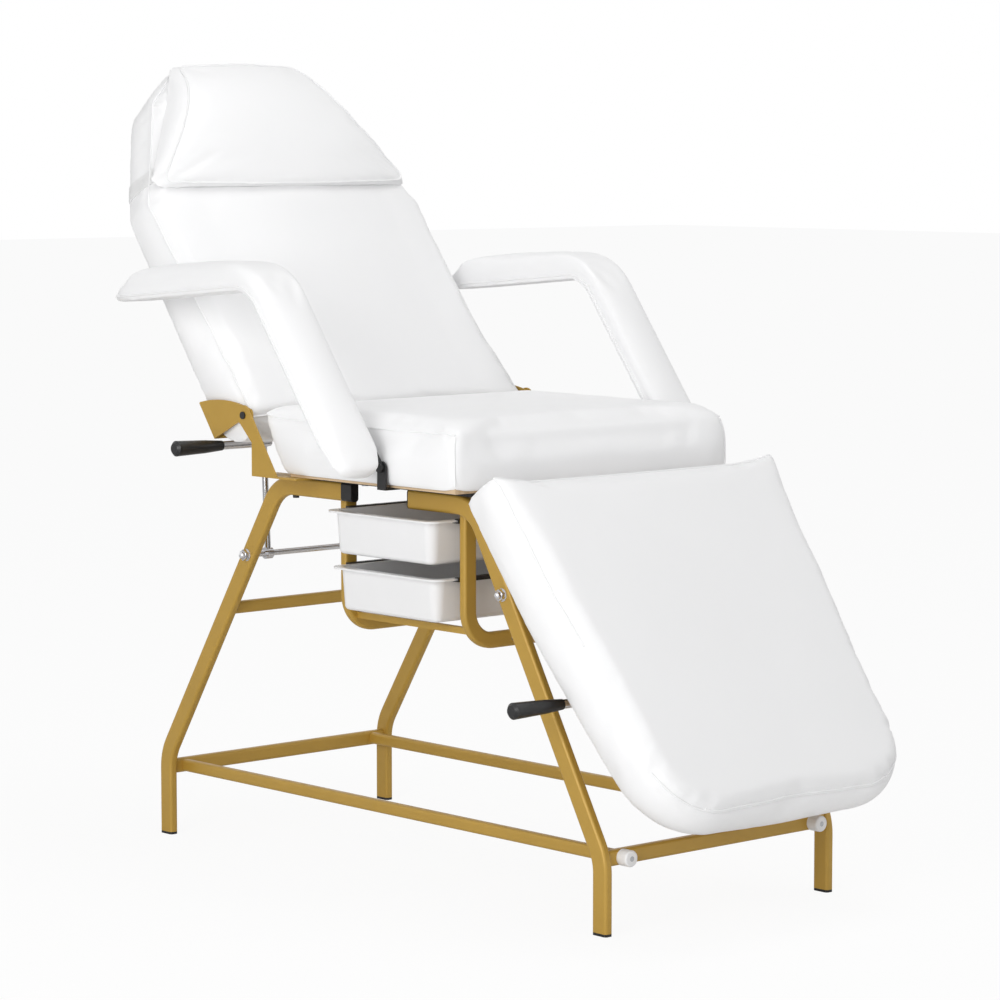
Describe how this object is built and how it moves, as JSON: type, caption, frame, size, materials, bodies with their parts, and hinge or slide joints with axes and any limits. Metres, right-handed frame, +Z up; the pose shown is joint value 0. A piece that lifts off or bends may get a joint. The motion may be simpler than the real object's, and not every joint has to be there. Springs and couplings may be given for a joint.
{
  "type": "treatment chair",
  "caption": "Padded treatment chair with folding backrest and legrest on clamp struts, swinging armrests, headrest pillow and sliding trays in a bent flat-tube frame",
  "frame": {"origin": "on the floor, midway between the four feet", "axes": "+Y runs from the legrest to the head end, +X to the sitter's left, +Z up"},
  "size_m": [0.8, 1.4011, 1.2871],
  "materials": {
    "gold_paint": "satin powder coat",
    "white_vinyl": "smooth coated fabric over foam",
    "black_plastic": "moulded",
    "black_steel": "satin",
    "chrome": "polished",
    "plywood": "plain",
    "white_plastic": "moulded",
    "zinc_steel": "zinc plated",
    "elastic_webbing": "woven",
    "white_rubber": "moulded"
  },
  "bodies": {
    "frame": {"rear_leg_right": "gold_paint", "rear_leg_left": "gold_paint", "front_leg_right": "gold_paint", "front_leg_left": "gold_paint", "rear_crossbar_lower": "gold_paint", "front_crossbar_lower": "gold_paint", "rear_crossbar_upper": "gold_paint", "side_stringers": "gold_paint", "tray_hoop_front": "gold_paint", "tray_hoop_rear": "gold_paint", "tray_hoop_bars": "gold_paint", "seat_hinge_plate_left": "gold_paint", "seat_hinge_plate_right": "gold_paint", "seat_cushion": "white_vinyl", "foot_caps": "black_plastic", "leg_end_caps": "black_plastic", "seat_rails": "black_steel", "frame_bolts": "black_steel", "backrest_pivot_bolts": "black_steel", "armrest_bracket_left": "black_steel", "armrest_bracket_right": "black_steel", "armrest_bolts": "black_steel", "tray_runners_upper": "black_steel", "tray_runners_lower": "black_steel", "legrest_hinge_seat_leaves": "black_steel", "rear_axle": "chrome", "front_axle": "chrome", "axle_nuts": "chrome", "axle_washers": "chrome", "seat_board": "plywood", "crossbar_bumpers": "white_rubber", "bumper_screws": "zinc_steel", "tray_hoop_screws": "zinc_steel", "seat_board_screws": "zinc_steel", "legrest_hinge_pins": "zinc_steel"},
    "backrest": {"backrest_cushion": "white_vinyl", "backrest_board": "plywood", "backrest_hinge_plate_left": "gold_paint", "backrest_hinge_plate_right": "gold_paint", "backrest_slide_plate": "black_steel", "headrest_pillow": "white_vinyl", "headrest_strap": "elastic_webbing"},
    "legrest": {"legrest_cushion": "white_vinyl", "legrest_board": "plywood", "legrest_slide_plate": "black_steel", "legrest_hinge_leg_leaves": "black_steel"},
    "back_strut": {"back_strut": "chrome"},
    "leg_strut": {"leg_strut": "chrome"},
    "back_clamp": {"back_clamp_spindle": "chrome", "back_clamp_grip": "black_plastic"},
    "leg_clamp": {"leg_clamp_spindle": "chrome", "leg_clamp_grip": "black_plastic"},
    "armrest_left": {"armrest_pad_left": "white_vinyl", "armrest_board_left": "plywood", "armrest_bar_left": "black_steel"},
    "armrest_right": {"armrest_pad_right": "white_vinyl", "armrest_board_right": "plywood", "armrest_bar_right": "black_steel"},
    "tray_upper": {"tray_upper": "white_plastic"},
    "tray_lower": {"tray_lower": "white_plastic"}
  },
  "joints": [
    {"name": "backrest_recline", "type": "hinge", "parent": "frame", "child": "backrest", "pos_m": [0, 0.229, 0.722], "axis": [-1, 0, 0], "range_deg": [0, 54.5]},
    {"name": "legrest_lift", "type": "hinge", "parent": "frame", "child": "legrest", "pos_m": [0, -0.257, 0.622], "axis": [-1, 0, 0], "range_deg": [0, 53.7]},
    {"name": "back_strut_swing", "type": "hinge", "parent": "frame", "child": "back_strut", "pos_m": [-0.2, 0.3, 0.489], "axis": [-1, 0, 0], "range_deg": [0, 41]},
    {"name": "leg_strut_swing", "type": "hinge", "parent": "frame", "child": "leg_strut", "pos_m": [-0.2, -0.31681, 0.482], "axis": [-1, 0, 0], "range_deg": [0, 89]},
    {"name": "back_grip_turn", "type": "hinge", "parent": "back_strut", "child": "back_clamp", "pos_m": [-0.286, 0.309, 0.668], "axis": [-1, 0, 0], "range_deg": [0, 120]},
    {"name": "leg_grip_turn", "type": "hinge", "parent": "leg_strut", "child": "leg_clamp", "pos_m": [-0.262, -0.467, 0.337], "axis": [-1, 0, 0], "range_deg": [0, 120]},
    {"name": "armrest_left_swing", "type": "hinge", "parent": "frame", "child": "armrest_left", "pos_m": [0.304, -0.106, 0.661], "axis": [-1, 0, 0], "range_deg": [0, 28]},
    {"name": "armrest_right_swing", "type": "hinge", "parent": "frame", "child": "armrest_right", "pos_m": [-0.304, -0.106, 0.661], "axis": [-1, 0, 0], "range_deg": [0, 28]},
    {"name": "tray_upper_slide", "type": "slide", "parent": "frame", "child": "tray_upper", "axis": [-1, 0, 0], "range_m": [-0.05, 0.25]},
    {"name": "tray_lower_slide", "type": "slide", "parent": "frame", "child": "tray_lower", "axis": [-1, 0, 0], "range_m": [-0.04, 0.25]}
  ],
  "couplings": [
    {"joint": "back_strut_swing", "follows": "backrest_recline", "ratio": 0.75},
    {"joint": "leg_strut_swing", "follows": "legrest_lift", "ratio": 1.65}
  ]
}
